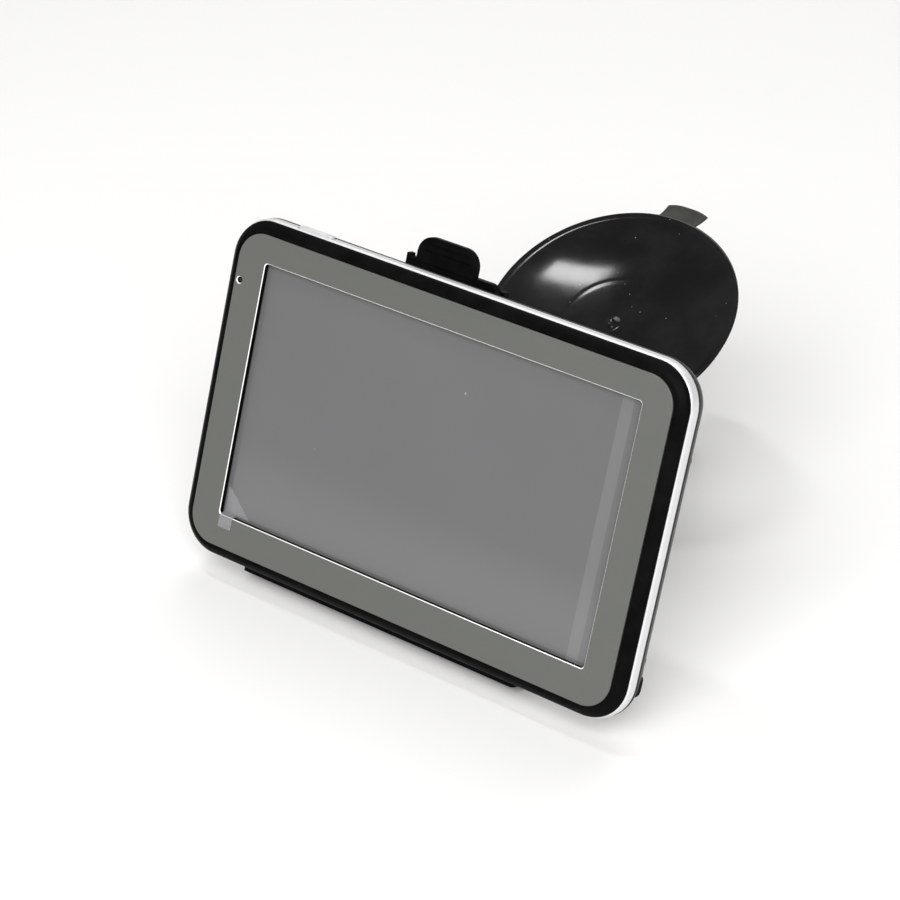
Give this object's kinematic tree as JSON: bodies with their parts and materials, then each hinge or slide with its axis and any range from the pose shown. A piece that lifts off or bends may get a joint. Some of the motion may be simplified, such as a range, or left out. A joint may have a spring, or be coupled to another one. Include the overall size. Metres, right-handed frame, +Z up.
{
  "type": "portable gps navigator",
  "caption": "Slim widescreen touch navigator in a clip-on cradle, on a ball joint and folding arm with a lever-pulled suction cup that grips a windscreen.",
  "frame": {"origin": "on the table, under the middle of the assembly's bounding box", "axes": "+X to the right of someone reading the screen, +Y away from them, +Z up; the assembly stands on the cradle's lip and the arm's knuckle"},
  "size_m": [0.136, 0.1429, 0.0939],
  "materials": {
    "brushed_plate": "finely brushed, greenish grey",
    "black_plastic": "fine satin moulding",
    "silver_band": "satin silver paint",
    "dark_steel": "black oxide",
    "screen_glass": "clear, switched-off screen behind it",
    "display_panel": "neutral grey, unlit",
    "clear_film": "thin clear protective film",
    "circuit_board": "solder mask",
    "shield_metal": "tinned sheet",
    "ceramic": "unglazed",
    "battery_wrap": "shrink wrap",
    "led_lens": "milky clear",
    "black_rubber": "soft, smooth"
  },
  "bodies": {
    "navigator": {"bezel_plate": "brushed_plate", "front_housing": "black_plastic", "mid_frame": "silver_band", "rear_cover": "black_plastic", "case_screw_1": "dark_steel", "case_screw_2": "dark_steel", "case_screw_3": "dark_steel", "case_screw_4": "dark_steel", "touch_panel": "screen_glass", "lcd_module": "display_panel", "screen_film": "clear_film", "main_board": "circuit_board", "processor_shield": "shield_metal", "gps_antenna": "ceramic", "battery": "battery_wrap", "speaker": "black_plastic", "power_switch": "shield_metal", "status_led_lens": "led_lens", "usb_socket": "shield_metal", "card_socket": "shield_metal", "earphone_jack": "black_plastic", "stylus_tube": "black_plastic", "cradle": "black_plastic", "head_plate": "black_plastic", "ball_screw": "dark_steel"},
    "button": {"power_button": "silver_band"},
    "card": {"memory_card": "black_plastic"},
    "pen": {"stylus": "black_plastic"},
    "latch": {"cradle_latch": "black_plastic"},
    "ball": {"swivel_ball": "black_plastic"},
    "seat": {"ball_seat": "black_rubber"},
    "arm": {"support_arm": "black_plastic"},
    "ring": {"clamp_ring": "black_plastic"},
    "base": {"base_cap": "black_plastic", "suction_cup": "black_rubber", "pivot_bolt": "dark_steel", "washer_left": "dark_steel", "washer_right": "dark_steel", "lever_pin": "dark_steel", "return_spring": "dark_steel"},
    "knob": {"tension_knob": "black_plastic"},
    "lever": {"lever": "black_plastic"},
    "plunger": {"plunger": "black_plastic"}
  },
  "joints": [
    {"name": "power_button_press", "type": "slide", "parent": "navigator", "child": "button", "axis": [0, -0.3166, -0.9485], "range_m": [0, 0.0005], "stiffness_N_per_m": 1500, "springref_m": -0.0006},
    {"name": "memory_card_slide", "type": "slide", "parent": "navigator", "child": "card", "axis": [-1, 0, 0], "range_m": [0, 0.01]},
    {"name": "stylus_slide", "type": "slide", "parent": "navigator", "child": "pen", "axis": [1, 0, 0], "range_m": [0, 0.07]},
    {"name": "cradle_latch_flex", "type": "hinge", "parent": "navigator", "child": "latch", "pos_m": [-0.008, -0.03643, 0.07016], "axis": [-1, 0, 0], "range_deg": [0, 12], "stiffness_Nm_per_rad": 1, "springref_deg": -2.86},
    {"name": "ball_roll", "type": "hinge", "parent": "navigator", "child": "ball", "pos_m": [-0.008, -0.03417, 0.02513], "axis": [0, 0.9485, -0.3166], "continuous": true},
    {"name": "ball_tilt", "type": "hinge", "parent": "ball", "child": "seat", "pos_m": [-0.008, -0.03417, 0.02513], "axis": [1, 0, 0], "range_deg": [-23, 6]},
    {"name": "ball_pan", "type": "hinge", "parent": "seat", "child": "arm", "pos_m": [-0.008, -0.03417, 0.02513], "axis": [0, 0.1761, 0.9844], "range_deg": [-13, 13]},
    {"name": "clamp_ring_turn", "type": "hinge", "parent": "arm", "child": "ring", "pos_m": [-0.008, -0.03417, 0.02513], "axis": [0, 0.9844, -0.1761], "continuous": true},
    {"name": "base_fold", "type": "hinge", "parent": "arm", "child": "base", "pos_m": [-0.008, 0.05043, 0.01], "axis": [-1, 0, 0], "range_deg": [0, 150]},
    {"name": "tension_knob_turn", "type": "hinge", "parent": "base", "child": "knob", "pos_m": [-0.008, 0.05043, 0.01], "axis": [1, 0, 0], "continuous": true},
    {"name": "lever_swing", "type": "hinge", "parent": "base", "child": "lever", "pos_m": [-0.008, 0.04603, 0.03637], "axis": [1, 0, 0], "range_deg": [0, 50]},
    {"name": "plunger_pull", "type": "slide", "parent": "base", "child": "plunger", "axis": [0, 0.4524, -0.8918], "range_m": [0, 0.003], "deforming": ["return_spring"]}
  ],
  "couplings": [
    {"joint": "plunger_pull", "follows": "lever_swing", "m_per_rad": 0.0034}
  ]
}
